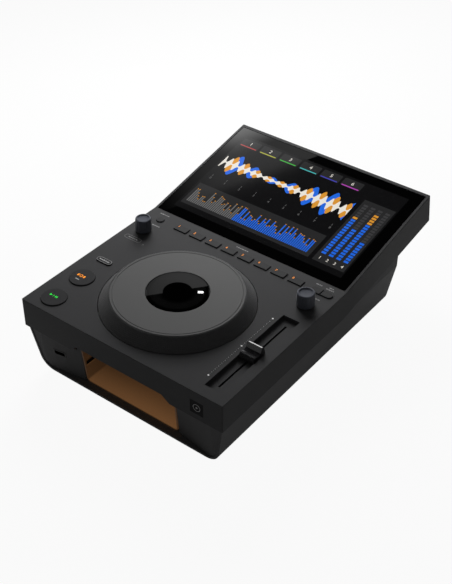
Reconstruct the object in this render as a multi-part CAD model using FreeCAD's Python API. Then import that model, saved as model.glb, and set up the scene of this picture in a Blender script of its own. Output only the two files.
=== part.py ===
import FreeCAD, Part
import math
import os

# Tabletop media player with a touch wheel and a raised screen.
# Frame: X to the right, Y to the back, Z up, millimetres. The origin is on the table,
# under the middle of the player's outline. Every shape is drawn with Y counted from
# the front edge and is moved back by half the depth when it is saved.

V = FreeCAD.Vector

# Driving dimensions of the two casings
WIDTH = 250.0
DECK_DEPTH = 205.0
SCREEN_LENGTH = 166.6
SCREEN_TILT = 10.7
SLAB_HEIGHT = 33.3
REAR_HEIGHT = 36.4
FOOT_HEIGHT = 4.0
TUB_HEIGHT = 54.1
TUB_INSET = 2.1
TUB_TAPER = 10.5
TUB_CORNER = 16.6
TUB_LEAN = 5.85
TUB_FRONT = 3.0
TUB_REAR = 312.5
SKIN = 3.0
TUB_WALL = 2.5
EDGE = 0.5
CORNER_EDGE = 1.3
GAP = 0.3

# Bay, front panels and sockets
BAY_HALF = 59.0
BAY_SETBACK = 8.2
BAY_CORNER = 3.2
BAY_BACK = 66.0
BAY_WALL = 1.6
NOTCH_RISE = 7.1
NOTCH_TOP = 53.6
NOTCH_BOTTOM = 63.8

# Wheel
JOG_Y = 91.3
JOG_R = 78.5
JOG_TOP_R = 67.4
JOG_RISE = 12.5
LENS_R = 31.4
BALL_R = 2.4
BALL_PITCH = 25.0
BALL_COUNT = 16

# Keys, knobs and fader
KEY_ROW_Y = 189.4
KEY_PITCH = 21.24
KEY_SIZE = (16.4, 9.0)
ROUND_KEY_R = 13.3
ROUND_KEY_X = -100.6
PLAY_Y = 21.0
CUE_Y = 61.5
PILL = (-101.7, 96.0, 19.5, 7.4)
SMALL_KEY = (-104.1, 189.0, 4.4)
SPLIT_X = 105.2
SPLIT_SIZE = (12.1, 8.8)
KNOB_Y = 163.3
LEFT_KNOB_X = -106.0
RIGHT_KNOB_X = 102.9
KNOB_HEIGHT = 16.2
FADER_X = 103.9
FADER_Y = 75.8
FADER_TRAVEL = 100.0
RECESS = (94.5, 113.6, 13.2, 137.9, 4.5)
KEY_GAP = 0.35
KEY_TRAVEL = 1.0
KEY_RISE = 1.2

TILT = math.radians(SCREEN_TILT)
TAPER = math.radians(TUB_TAPER)
LEAN = math.tan(math.radians(TUB_LEAN))
BASE_Z = FOOT_HEIGHT
RIM_Z = BASE_Z + TUB_HEIGHT
DECK_Z = RIM_Z + SLAB_HEIGHT
FLOOR_Z = BASE_Z + TUB_WALL
HALF = WIDTH / 2
REAR_TOP = (DECK_DEPTH + SCREEN_LENGTH * math.cos(TILT), DECK_Z + SCREEN_LENGTH * math.sin(TILT))
REAR_LOW = (REAR_TOP[0] + REAR_HEIGHT * math.sin(TILT), REAR_TOP[1] - REAR_HEIGHT * math.cos(TILT))
DEPTH = REAR_LOW[0]
CREASE_LOW = (DECK_DEPTH - 3.1, RIM_Z)
UNDER_SLOPE = (REAR_LOW[1] - RIM_Z) / (REAR_LOW[0] - CREASE_LOW[0])

os.makedirs("parts", exist_ok=True)


def save(name, shape):
    """Write one node, moved so that the origin is under the middle."""
    moved = shape.copy()
    moved.translate(V(0, -DEPTH / 2, 0))
    moved.exportStep("parts/%s.step" % name)


def box(x0, x1, y0, y1, z0, z1):
    return Part.makeBox(x1 - x0, y1 - y0, z1 - z0, V(x0, y0, z0))


def rod(radius, x, y, z0, z1):
    return Part.makeCylinder(radius, z1 - z0, V(x, y, z0))


def rod_y(radius, x, z, y0, y1):
    return Part.makeCylinder(radius, y1 - y0, V(x, y0, z), V(0, 1, 0))


def ring(r0, r1, x, y, z0, z1):
    return rod(r1, x, y, z0, z1).cut(rod(r0, x, y, z0 - 1, z1 + 1))


def face_of(points):
    """Flat face through points, the last joined to the first."""
    closed = [V(*p) for p in points]
    return Part.Face(Part.makePolygon(closed + closed[:1]))


def prism_x(outline, x0, x1):
    """Outline of (y, z) points carried along X."""
    return face_of([(x0, y, z) for y, z in outline]).extrude(V(x1 - x0, 0, 0))


def turned(profile, x, y):
    """Profile of (radius, z) points turned round an upright axis at x, y."""
    shape = face_of([(r, 0, z) for r, z in profile]).revolve(V(0, 0, 0), V(0, 0, 1), 360)
    shape.translate(V(x, y, 0))
    return shape


def soft_box(x0, x1, y0, y1, z0, z1, radius):
    """Block with its four upright edges rounded."""
    block = box(x0, x1, y0, y1, z0, z1)
    upright = [e for e in block.Edges if abs(e.tangentAt(e.FirstParameter).z) > 0.99]
    return block.makeFillet(radius, upright)


def top_chamfer(shape, size):
    """Bevel the edges that lie in the shape's highest plane."""
    top = shape.BoundBox.ZMax
    rim = [e for e in shape.Edges if e.BoundBox.ZMin > top - 0.001]
    return shape.makeChamfer(size, rim)


def join(shapes):
    whole = shapes[0]
    for shape in shapes[1:]:
        whole = whole.fuse(shape)
    return whole.removeSplitter()


def group(shapes):
    return Part.makeCompound(shapes)


def on_screen(shape):
    """Carry a shape drawn with Z = 0 on a level screen and Y = 0 at the crease to its place."""
    tilted = shape.copy()
    tilted.rotate(V(0, 0, 0), V(1, 0, 0), SCREEN_TILT)
    tilted.translate(V(0, DECK_DEPTH, DECK_Z))
    return tilted


def under_z(y):
    """Height of the upper casing's underside at y."""
    return RIM_Z + max(0.0, y - CREASE_LOW[0]) * UNDER_SLOPE


# Outlines shared by the casings

def slab_outline():
    return [(0, RIM_Z), (0, DECK_Z), (DECK_DEPTH, DECK_Z), REAR_TOP, REAR_LOW, CREASE_LOW]


def tub_section(inset, y0, y1):
    """Tapered section with round lower corners, inset from the outside, carried along Y."""
    top_half = HALF - TUB_INSET - inset / math.cos(TAPER)
    cap_half = HALF - 1.6 - inset
    low = BASE_Z + inset
    low_half = top_half - (RIM_Z - low) * math.tan(TAPER)
    cap_z = RIM_Z + (cap_half - top_half) / math.tan(TAPER)
    high = DECK_Z + 5
    points = [(low_half, low), (cap_half, cap_z), (cap_half, high)]
    outline = [(x, y0, z) for x, z in points] + [(-x, y0, z) for x, z in reversed(points)]
    solid = face_of(outline).extrude(V(0, y1 - y0, 0))
    lower = [e for e in solid.Edges
             if e.BoundBox.ZMax < low + 0.01 and abs(e.tangentAt(e.FirstParameter).y) > 0.99]
    return solid.makeFillet(TUB_CORNER - inset, lower)


def lean_cutter(setback, x0, x1):
    """Everything in front of the leaning front plane, moved back by setback."""
    top = TUB_FRONT + setback - (DECK_Z - RIM_Z) * LEAN
    low = TUB_FRONT + setback + RIM_Z * LEAN
    return prism_x([(-50, 0), (low, 0), (top, DECK_Z), (-50, DECK_Z)], x0, x1)


def above_tub():
    """Everything above the upper casing's underside."""
    end = DEPTH + 20
    return prism_x([(-60, RIM_Z), CREASE_LOW, (end, under_z(end)), (end, 200), (-60, 200)],
                   -HALF - 10, HALF + 10)


COLUMNS = [(side * x, y) for side in (-1, 1) for x, y in ((78.0, 30.0), (104.0, 147.0), (104.0, 270.0))]
JOG_BOSSES = [(x, JOG_Y + dy) for x in (-62.2, 62.2) for dy in (-62.2, 62.2)]
JOG_PLATE_Z = DECK_Z - 22.0
BOARD_TOP = DECK_Z - 14.0
SWITCH_TOP = DECK_Z - 9.7
NFC_X = 95.5
NFC_HALF = 7.7
NFC_LOW = DECK_Z - 26.5


# Upper casing

def key_places():
    """Middle of each key of the row."""
    return [((i - 3.5) * KEY_PITCH, KEY_ROW_Y) for i in range(8)]


def key_blank(x, y, wide, deep, z0, z1, grow, radius):
    return soft_box(x - wide / 2 - grow, x + wide / 2 + grow,
                    y - deep / 2 - grow, y + deep / 2 + grow, z0, z1, radius + grow)


def pill_blank(x, y, wide, deep, z0, z1, grow):
    return key_blank(x, y, wide, deep, z0, z1, grow, deep / 2 - 0.01)


def deck_cuts():
    """Openings through the deck."""
    low = DECK_Z - 12
    high = DECK_Z + 5
    cuts = [rod(JOG_R + 0.8, 0, JOG_Y, low, high)]
    cuts += [rod(ROUND_KEY_R + KEY_GAP, ROUND_KEY_X, y, low, high) for y in (PLAY_Y, CUE_Y)]
    cuts += [pill_blank(*PILL, low, high, KEY_GAP)]
    cuts += [rod(SMALL_KEY[2] + KEY_GAP, SMALL_KEY[0], SMALL_KEY[1], low, high)]
    cuts += [key_blank(x, y, *KEY_SIZE, low, high, KEY_GAP, 0.6) for x, y in key_places()]
    cuts += [pill_blank(SPLIT_X, KEY_ROW_Y, 2 * SPLIT_SIZE[0] + 0.8, SPLIT_SIZE[1], low, high, KEY_GAP)]
    cuts += [rod(5.2, x, KNOB_Y, low, high) for x in (LEFT_KNOB_X, RIGHT_KNOB_X)]
    return cuts


def is_upright(edge):
    return abs(edge.tangentAt(edge.FirstParameter).z) > 0.9


def off_crease(edge):
    """True for an edge away from the two creases between the deck's and the screen's slab."""
    middle = edge.CenterOfMass
    creases = (CREASE_LOW, (DECK_DEPTH, DECK_Z))
    return not any(abs(middle.y - y) < 0.1 and abs(middle.z - z) < 0.1 for y, z in creases)


def upper_chassis():
    outline = slab_outline()
    outer = prism_x(outline, -HALF, HALF)
    outer = outer.makeFillet(CORNER_EDGE, [e for e in outer.Edges if is_upright(e)])
    outer = outer.makeFillet(EDGE, [e for e in outer.Edges if off_crease(e) and not is_upright(e)])
    low = RIM_Z - 5
    screen_in = [on_screen(Part.Vertex(0, v, w)).Point
                 for v, w in ((SKIN, -4.4), (SCREEN_LENGTH - SKIN, -4.4), (SCREEN_LENGTH - SKIN, -45))]
    inner = [(SKIN, low), (SKIN, DECK_Z - SKIN), (DECK_DEPTH - 3, DECK_Z - SKIN)]
    inner += [(p.y, p.z) for p in screen_in[:1]] + [(p.y, p.z) for p in screen_in[1:]]
    inner += [(DECK_DEPTH, low)]
    shell = outer.cut(prism_x(inner, -HALF + SKIN, HALF - SKIN))
    x0, x1, y0, y1, drop = RECESS
    shell = shell.fuse(box(x0 - 2, x1 + 2, y0 - 2, y1 + 2, DECK_Z - drop - 2, DECK_Z - 1))
    shell = shell.cut(box(x0, x1, y0, y1, DECK_Z - drop, DECK_Z + 5))
    slot = FADER_TRAVEL / 2 + 3.4
    shell = shell.cut(box(FADER_X - 1.1, FADER_X + 1.1, FADER_Y - slot, FADER_Y + slot,
                          DECK_Z - 20, DECK_Z))
    shell = shell.fuse([rod(3.5, x, y, JOG_PLATE_Z, DECK_Z - 1) for x, y in JOG_BOSSES])
    shell = shell.fuse([rod(4.5, x, y, RIM_Z, DECK_Z - 1) for x, y in COLUMNS if y < DECK_DEPTH])
    shell = shell.cut([rod(1.3, x, y, RIM_Z - 1, RIM_Z + 16) for x, y in COLUMNS])
    shell = shell.cut([rod(1.3, x, y, JOG_PLATE_Z - 1, JOG_PLATE_Z + 9) for x, y in JOG_BOSSES])
    shell = shell.cut(deck_cuts())
    pocket = on_screen(soft_box(-HALF + 3.0, HALF - 3.0, 0.6, SCREEN_LENGTH - 4.0, -2.0, 5, 1.5))
    window = on_screen(box(-113, 113, 9, 155.5, -9, 5))
    shell = shell.cut([pocket, window])
    top_z = RIM_Z + NOTCH_RISE
    notch = face_of([(-NOTCH_BOTTOM, -5, RIM_Z - 5), (-NOTCH_BOTTOM, -5, RIM_Z), (-NOTCH_TOP, -5, top_z),
                     (NOTCH_TOP, -5, top_z), (NOTCH_BOTTOM, -5, RIM_Z), (NOTCH_BOTTOM, -5, RIM_Z - 5)])
    shell = shell.cut(notch.extrude(V(0, 5 + SKIN + 0.1, 0)))
    shell = shell.cut(box(NFC_X - NFC_HALF, NFC_X + NFC_HALF, -1, 0.6, NFC_LOW, NFC_LOW + 2 * NFC_HALF))
    return shell.removeSplitter()


def touch_mark():
    """Thin tile of the contactless reader, set in the fascia."""
    return box(NFC_X - NFC_HALF + 0.1, NFC_X + NFC_HALF - 0.1, 0.05, 0.6,
               NFC_LOW + 0.1, NFC_LOW + 2 * NFC_HALF - 0.1)


# Screen

def screen_glass():
    pane = soft_box(-HALF + 3.3, HALF - 3.3, 0.9, SCREEN_LENGTH - 4.3, -2.0, -0.2, 1.2)
    return on_screen(top_chamfer(pane, 0.3))


def screen_panel():
    """Liquid crystal panel with its rear metal frame lip."""
    panel = box(-112.5, 112.5, 9.5, 155, -6.4, -2.0)
    return on_screen(panel.cut(box(-106, 106, 16, 148, -7, -5.8)))


def screen_bracket():
    """Pressed tray behind the panel with two stiffening ribs and four lugs."""
    plate = box(-114, 114, 12, 152, -8.0, -6.4)
    ribs = [box(-100, 100, y, y + 3, -12, -7.9) for y in (40, 110)]
    lugs = [box(x - 4, x + 4, y - 6, y + 6, -8.0, -6.4) for x in (-117, 117) for y in (30, 130)]
    plate = plate.fuse(ribs + lugs)
    return on_screen(plate.removeSplitter())


def screen_back_cover():
    """Cover that closes the underside of the raised half, with vent slots."""
    wall = 2.2
    y0 = CREASE_LOW[0] + 3
    y1 = REAR_LOW[0] - SKIN - 1.4
    outline = [(y0, under_z(y0)), (y1, under_z(y1)), (y1, under_z(y1) + wall), (y0, under_z(y0) + wall)]
    half = HALF - SKIN - 0.2
    plate = prism_x(outline, -half, half)
    inner_half = 92.0
    opening_end = TUB_REAR - 8
    plate = plate.cut(box(-inner_half, inner_half, y0 - 5, opening_end, RIM_Z - 5, DECK_Z))
    slots = []
    for i in range(15):
        x = (i - 7) * 12.0
        slots.append(box(x - 1.2, x + 1.2, TUB_REAR + 14, TUB_REAR + 40, RIM_Z, DECK_Z))
    rear = [(x, y) for x, y in COLUMNS if y > DECK_DEPTH]
    plate = plate.cut(slots).fuse([rod(4.5, x, y, under_z(y) + 1, under_z(y) + 12) for x, y in rear])
    return plate.cut([rod(1.3, x, y, RIM_Z, DECK_Z + 10) for x, y in rear]).removeSplitter()


# Lower casing

def lower_chassis():
    tub = tub_section(0, 0, TUB_REAR).cut(tub_section(TUB_WALL, -5, TUB_REAR + 5))
    columns = [rod(5.0, x, y, FLOOR_Z - 1, DECK_Z) for x, y in COLUMNS]
    stands = [rod(3.0, x, y, FLOOR_Z - 1, FLOOR_Z + 6) for x, y in BOARD_HOLES]
    tub = tub.fuse(columns + stands)
    tub = tub.cut(above_tub())
    tub = tub.cut(lean_cutter(0, -HALF - 5, HALF + 5))
    bores = [rod(1.7, x, y, 0, DECK_Z) for x, y in COLUMNS]
    heads = [rod(3.2, x, y, 0, SCREW_HEAD_Z + 3) for x, y in COLUMNS]
    pilots = [rod(1.2, x, y, FLOOR_Z, FLOOR_Z + 8) for x, y in BOARD_HOLES]
    vents = [box(x - 1.3, x + 1.3, 210, 250, 0, FLOOR_Z + 0.5) for x in range(-60, 61, 10)]
    return tub.cut(bores + heads + pilots + vents).removeSplitter()


BOARD_HOLES = [(x, y) for x in (-78.0, 58.0) for y in (96.0, 262.0)]
SCREW_HEAD_Z = 28.0


def front_panel(side):
    """Leaning panel beside the bay, swept back towards it, with a flange under the fascia."""
    edge_x = BAY_HALF + BAY_WALL + 0.1
    wide_x = HALF - TUB_INSET - TUB_WALL
    turn_x = 108.0
    wall = 2.2
    front = [(edge_x, BAY_SETBACK), (turn_x, 0.9), (wide_x + 4, 0.3)]
    back = [(wide_x + 4, 0.3 + wall), (turn_x, 0.9 + wall), (edge_x, BAY_SETBACK + wall)]
    plan = [(side * x, TUB_FRONT + y, RIM_Z) for x, y in front + back]
    down = RIM_Z - BASE_Z
    panel = face_of(plan).extrude(V(0, down * LEAN, -down))
    flange_plan = [(side * edge_x, SKIN + 0.2), (side * (wide_x + 4), SKIN + 0.2)]
    flange_plan += [(side * x, TUB_FRONT + y + 1.4) for x, y in reversed(front)]
    flange = face_of([(x, y, RIM_Z - 1.6) for x, y in flange_plan]).extrude(V(0, 0, 1.6))
    panel = panel.fuse(flange)
    return panel.common(tub_section(TUB_WALL + 0.05, -5, 60)).common(box(-HALF, HALF, 0, 60, 0, RIM_Z))


def panel_y(x, z, extra=0.0):
    """Front surface of a front panel at x and z."""
    share = (108.0 - abs(x)) / (108.0 - BAY_HALF - BAY_WALL - 0.1)
    return TUB_FRONT + 0.9 + share * (BAY_SETBACK - 0.9) + (RIM_Z - z) * LEAN + extra


def bay_section(grow, y0, y1):
    """Inside of the bay: slightly tapered walls and round lower corners."""
    low = BAY_FLOOR - grow
    high = BAY_CEILING + grow
    top = BAY_HALF + grow
    bottom = BAY_HALF - 1.2 + grow
    outline = [(-bottom, y0, low), (bottom, y0, low), (top, y0, high), (-top, y0, high)]
    solid = face_of(outline).extrude(V(0, y1 - y0, 0))
    lower = [e for e in solid.Edges
             if e.BoundBox.ZMax < low + 0.01 and abs(e.tangentAt(e.FirstParameter).y) > 0.99]
    return solid.makeFillet(BAY_CORNER + grow, lower)


BAY_FLOOR = FLOOR_Z + 1.9
BAY_CEILING = DECK_Z - 26.7


def bay_liner():
    """Five-sided tray of the lit bay, open to the front."""
    outer = bay_section(BAY_WALL, 0, BAY_BACK + BAY_WALL)
    hollow = bay_section(0, -5, BAY_BACK)
    liner = outer.cut(hollow)
    mouth = lean_cutter(BAY_SETBACK, -HALF, HALF)
    liner = liner.cut(mouth.common(box(-HALF, HALF, -50, 60, 0, BAY_CEILING)))
    liner = liner.cut(box(-HALF, HALF, -50, SKIN + 0.2, 0, DECK_Z))
    port = box(-HALF, -BAY_HALF + 4, BAY_USB_Y - 7.2, BAY_USB_Y + 7.2, BAY_USB_Z - 3.5, BAY_USB_Z + 3.5)
    bar = box(-BAR_HALF, BAR_HALF, BAR_Y - 3, BAR_Y + 3, BAY_CEILING - 1, DECK_Z)
    return liner.cut([port, bar]).removeSplitter()


BAR_HALF = 48.0
BAR_Y = 22.0
BAY_USB_Y = 23.0
BAY_USB_Z = DECK_Z - 60.2


def bay_light_bar():
    """Diffuser strip in the ceiling of the bay."""
    return soft_box(-BAR_HALF + 0.2, BAR_HALF - 0.2, BAR_Y - 2.8, BAR_Y + 2.8, BAY_CEILING - 0.6,
                    BAY_CEILING + BAY_WALL, 1.5)


def socket(wide, high, deep, wall, tongue):
    """Metal shell with its mouth at Y = 0, open towards -Y, and a tongue in it."""
    shell = box(-wide / 2 - wall, wide / 2 + wall, 0, deep, -high / 2 - wall, high / 2 + wall)
    shell = shell.cut(box(-wide / 2, wide / 2, -1, deep - 1.2, -high / 2, high / 2))
    if tongue is None:
        return shell
    w, h, z, start = tongue
    return shell.fuse(box(-w / 2, w / 2, start, deep - 0.6, z - h / 2, z + h / 2)).removeSplitter()


def flange_round(shape, wide, high, thick, hole):
    """Add a thin bezel plate round a socket's mouth."""
    plate = box(-wide / 2, wide / 2, -thick, 0.0, -high / 2, high / 2)
    plate = plate.cut(box(-hole[0] / 2, hole[0] / 2, -thick - 1, 2, -hole[1] / 2, hole[1] / 2))
    return shape.fuse(plate).removeSplitter()


USB_A = (12.5, 5.1, 13.0, 0.6, (11.1, 1.9, 0.9, 1.2))
USB_C = (8.4, 2.7, 8.0, 0.5, (6.8, 0.7, 0.0, 1.0))
FRONT_USB = (-88.8, DECK_Z - 58.8)
FRONT_USB_C = (-69.0, DECK_Z - 41.5)


def place_in_panel(shape, where):
    """Lean and turn a socket to lie in the left front panel."""
    x, z = where
    swing = math.degrees(math.atan((BAY_SETBACK - 0.9) / (108.0 - BAY_HALF - BAY_WALL - 0.1)))
    shape.rotate(V(0, 0, 0), V(0, 0, 1), swing)
    shape.rotate(V(0, 0, 0), V(1, 0, 0), TUB_LEAN)
    shape.translate(V(x, panel_y(x, z), z))
    return shape


def front_usb_port():
    port = flange_round(socket(*USB_A), 15.2, 7.0, 0.35, USB_A[:2])
    return place_in_panel(port, FRONT_USB)


def front_usb_c_port():
    port = flange_round(socket(*USB_C), 10.6, 4.9, 0.35, USB_C[:2])
    return place_in_panel(port, FRONT_USB_C)


def bay_usb_port():
    port = socket(*USB_A)
    port.rotate(V(0, 0, 0), V(0, 0, 1), 90)
    port.translate(V(-BAY_HALF + 0.2, BAY_USB_Y, BAY_USB_Z))
    return port


# Rear panel and its sockets

PANEL_Y = TUB_REAR - 4.0
PANEL_T = 2.0
INLET = (88.0, 36.0)
SWITCH = (58.0, 36.0)
BOARD_Z = FLOOR_Z + 6.0
BOARD_T = 1.6
JACK_Z = BOARD_Z + BOARD_T + 6.8
COAX = [(x, JACK_Z) for x in (-76.0, -56.0, -34.0)]
NETWORK = (-8.0, JACK_Z)


def rear_panel():
    plate = tub_section(TUB_WALL + 0.15, PANEL_Y, PANEL_Y + PANEL_T).cut(above_tub())
    cuts = [box(INLET[0] - 11.2, INLET[0] + 11.2, PANEL_Y - 1, TUB_REAR, INLET[1] - 8.2, INLET[1] + 8.2)]
    cuts += [box(SWITCH[0] - 6.8, SWITCH[0] + 6.8, PANEL_Y - 1, TUB_REAR, SWITCH[1] - 6.8, SWITCH[1] + 6.8)]
    cuts += [rod_y(5.4, x, z, PANEL_Y - 1, TUB_REAR) for x, z in COAX]
    cuts += [box(NETWORK[0] - 8.2, NETWORK[0] + 8.2, PANEL_Y - 1, TUB_REAR, NETWORK[1] - 7, NETWORK[1] + 7)]
    return plate.cut(cuts)


def face_back(shape, x, z, y):
    """Turn a socket drawn with its mouth towards -Y so that it faces the back."""
    shape.rotate(V(0, 0, 0), V(0, 0, 1), 180)
    shape.translate(V(x, y, z))
    return shape


def power_inlet():
    """Two-pin mains inlet with a flanged body."""
    body = soft_box(-11, 11, -0.2, 20, -8, 8, 2.0)
    flange = box(-13, 13, -2.0, -0.0, -10, 10)
    hollow = box(-8.2, 8.2, -5, 13, -4.3, 4.3)
    body = body.fuse(flange).cut(hollow)
    pins = [rod_y(1.25, x, 0, 2.0, 16) for x in (-4.3, 4.3)]
    return face_back(body.fuse(pins).removeSplitter(), INLET[0], INLET[1], PANEL_Y + PANEL_T)


def switch_frame():
    """Square sleeve that holds the mains button."""
    sleeve = box(-6.6, 6.6, 0, 16, -6.6, 6.6).fuse(box(-8.4, 8.4, -1.4, 0, -8.4, 8.4))
    sleeve = sleeve.cut(box(-4.9, 4.9, -3, 12, -4.9, 4.9))
    return face_back(sleeve.removeSplitter(), SWITCH[0], SWITCH[1], PANEL_Y + PANEL_T)


def power_button():
    button = box(-4.6, 4.6, -4.4, 7.0, -4.6, 4.6)
    button = button.makeChamfer(0.6, [e for e in button.Edges if e.BoundBox.YMax < -4.3])
    return face_back(button, SWITCH[0], SWITCH[1], PANEL_Y + PANEL_T)


def coax_jack(x, z):
    """Phono jack: threaded barrel, insulator and a hollow centre contact."""
    end = PANEL_Y + PANEL_T
    barrel = rod_y(4.15, x, z, end, end + 9).cut(rod_y(3.3, x, z, end + 0.5, end + 10))
    collar = rod_y(7.0, x, z, end, end + 1.0).cut(rod_y(3.3, x, z, end + 0.5, end + 3))
    core = rod_y(2.9, x, z, end - 1, end + 5).cut(rod_y(1.65, x, z, end - 0.5, end + 6))
    body = box(x - 5, x + 5, end - 12, end - PANEL_T - 0.05, BOARD_Z + BOARD_T, z + 5)
    neck = rod_y(5.2, x, z, end - PANEL_T - 0.1, end + 0.2)
    return join([body, neck, collar, barrel, core])


def network_jack():
    jack = box(-8, 8, 0, 18, -6.8, 6.8).cut(box(-5.9, 5.9, -1, 12, -4.0, 4.0))
    return face_back(jack.cut(box(-3.0, 3.0, -1, 12, -5.6, -3.9)), NETWORK[0], NETWORK[1], PANEL_Y + PANEL_T)


# Wheel

def jog_rim():
    z = DECK_Z
    profile = [(75.5, z - 4), (JOG_R, z - 4), (JOG_R, z + 0.2), (68.3, z + 11.9), (JOG_TOP_R, z + 12.2),
               (JOG_TOP_R, z + 10.9), (34, z + 10.9), (34, z + 8.4), (65.5, z + 8.4), (75.5, z - 2.5)]
    return turned(profile, 0, JOG_Y)


def jog_top_plate():
    z = DECK_Z
    profile = [(LENS_R + 0.6, z + 10.9), (67.1, z + 10.9), (67.1, z + 12.3), (66.8, z + JOG_RISE),
               (64.9, z + JOG_RISE), (64.7, z + 12.1), (64.3, z + 12.1), (64.1, z + JOG_RISE),
               (LENS_R + 0.9, z + JOG_RISE), (LENS_R + 0.6, z + 12.2)]
    return turned(profile, 0, JOG_Y)


def jog_hub():
    z = DECK_Z
    profile = [(30, z - 14), (33, z - 14), (33, z + 6.6), (58, z + 6.6), (58, z + 8.4), (30, z + 8.4)]
    return turned(profile, 0, JOG_Y)


def race(r0, r1):
    """Bearing ring with a groove for the balls on its inner or outer wall."""
    z = DECK_Z - 9
    body = ring(r0, r1, 0, JOG_Y, z - 3.2, z + 3.2)
    groove = Part.makeTorus(BALL_PITCH, BALL_R + 0.15, V(0, JOG_Y, z))
    return body.cut(groove)


def bearing_balls():
    z = DECK_Z - 9
    balls = []
    for i in range(BALL_COUNT):
        turn = 2 * math.pi * i / BALL_COUNT
        balls.append(Part.makeSphere(BALL_R, V(BALL_PITCH * math.cos(turn),
                                               JOG_Y + BALL_PITCH * math.sin(turn), z)))
    return group(balls)


def jog_post():
    """Fixed hollow post that carries the bearing and the middle of the wheel."""
    z = DECK_Z
    profile = [(17, z - 22), (26, z - 22), (26, z - 20), (21.5, z - 20), (21.5, z - 12.4), (20, z - 12.4),
               (20, z + 7.6), (28, z + 7.6), (28, z + 8.9), (17, z + 8.9)]
    return turned(profile, 0, JOG_Y)


def jog_display():
    z = DECK_Z
    return turned([(0, z + 8.9), (30.6, z + 8.9), (30.6, z + 11.4), (0, z + 11.4)], 0, JOG_Y)


def jog_lens():
    z = DECK_Z
    profile = [(0, z + 11.4), (LENS_R, z + 11.4), (LENS_R, z + 12.2)]
    profile += [(LENS_R - 0.5, z + 12.6), (0, z + 12.6)]
    return turned(profile, 0, JOG_Y)


def encoder_disc():
    return ring(33, 40, 0, JOG_Y, DECK_Z - 12.0, DECK_Z - 11.2)


def encoder_sensor():
    """Forked light gate that straddles the edge of the disc."""
    z = DECK_Z
    block = box(-5, 5, JOG_Y + 36, JOG_Y + 46, z - 22, z - 6)
    return block.cut(box(-6, 6, JOG_Y + 35, JOG_Y + 42, z - 13.4, z - 9.8))


def jog_base_plate():
    plate = soft_box(-70, 70, JOG_Y - 70, JOG_Y + 70, JOG_PLATE_Z - 2, JOG_PLATE_Z, 8)
    holes = [rod(1.7, x, y, 0, DECK_Z) for x, y in JOG_BOSSES]
    return plate.cut(holes + [rod(17, 0, JOG_Y, 0, DECK_Z)])


# Keys

def key_cap(blank, flange, stem_at):
    """Cap with a retaining flange under the deck and a stem over its switch."""
    z = DECK_Z
    x, y = stem_at
    cap = blank(z - 4.5, z + KEY_RISE, 0.0)
    lip = flange(z - 4.5, z - SKIN - GAP, 0.9)
    stem = rod(1.6, x, y, SWITCH_TOP + KEY_TRAVEL + GAP, z - 4)
    return join([top_chamfer(cap, 0.35), lip, stem])


def round_key(x, y, radius):
    blank = lambda z0, z1, grow: rod(radius + grow, x, y, z0, z1)
    return key_cap(blank, blank, (x, y))


def flat_key(x, y):
    blank = lambda z0, z1, grow: key_blank(x, y, *KEY_SIZE, z0, z1, grow, 0.6)
    return key_cap(blank, blank, (x, y))


def pill_key():
    blank = lambda z0, z1, grow: pill_blank(*PILL, z0, z1, grow)
    return key_cap(blank, blank, PILL[:2])


def split_key(side):
    """One half of the divided pill."""
    wide = 2 * SPLIT_SIZE[0] + 0.8
    half = box(SPLIT_X + 0.4, SPLIT_X + 40, 0, DEPTH, 0, DECK_Z + 40)
    if side < 0:
        half = box(SPLIT_X - 40, SPLIT_X - 0.4, 0, DEPTH, 0, DECK_Z + 40)
    deep = SPLIT_SIZE[1]
    blank = lambda z0, z1, grow: pill_blank(SPLIT_X, KEY_ROW_Y, wide, deep, z0, z1, grow).common(half)
    return key_cap(blank, blank, (SPLIT_X + side * 6.6, KEY_ROW_Y))


def switch_places():
    """Where each key's switch stands."""
    places = [(ROUND_KEY_X, PLAY_Y), (ROUND_KEY_X, CUE_Y), PILL[:2], SMALL_KEY[:2]]
    places += key_places()
    places += [(SPLIT_X - 6.6, KEY_ROW_Y), (SPLIT_X + 6.6, KEY_ROW_Y)]
    return places


def key_switches():
    """Tact switch of each key: a square base and a round plunger."""
    parts = []
    for x, y in switch_places():
        base = box(x - 3, x + 3, y - 3, y + 3, BOARD_TOP, BOARD_TOP + 3.0)
        parts.append(base.fuse(rod(1.7, x, y, BOARD_TOP + 3.0, SWITCH_TOP)).removeSplitter())
    return group(parts)


def key_board():
    """L-shaped board under the keys, clear of the wheel, held up to the deck by spacers."""
    low = BOARD_TOP - 1.6
    side = box(-121, -82, 8, 172, low, BOARD_TOP)
    back = box(-121, 121, 172, 199, low, BOARD_TOP)
    board = side.fuse(back)
    board = board.cut([rod(5.0, x, y, 0, DECK_Z) for x, y in COLUMNS])
    board = board.cut([box(x - 7.6, x + 7.6, KNOB_Y - 7.6, KNOB_Y + 7.6, 0, DECK_Z)
                       for x in (LEFT_KNOB_X, RIGHT_KNOB_X)])
    spacers = [rod(2.2, x, y, BOARD_TOP, DECK_Z - SKIN)
               for x, y in ((-84.5, 41), (-86, 120), (-63.7, 197), (42.5, 197))]
    return board.fuse(spacers).removeSplitter()


# Knobs

def knob(x, top_r, low_r):
    z = DECK_Z
    top = z + KNOB_HEIGHT
    profile = [(3.1, z + 1.6), (low_r, z + 1.6), (low_r, z + 2.6), (top_r, top - 1.4), (top_r - 1.5, top),
               (top_r - 2.3, top), (top_r - 3.0, top - 0.9), (0, top - 0.9), (0, z + 12.0), (3.1, z + 12.0)]
    return turned(profile, x, KNOB_Y)


def encoder_shaft(x):
    """Shaft that the knob is pressed on, ending in the encoder."""
    return rod(3.1, x, KNOB_Y, DECK_Z - 8.5, DECK_Z + 12.0)


def encoder_plunger(x):
    """Plunger under the shaft that closes the push contact."""
    return rod(2.4, x, KNOB_Y, DECK_Z - 10.8, DECK_Z - 8.8)


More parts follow.
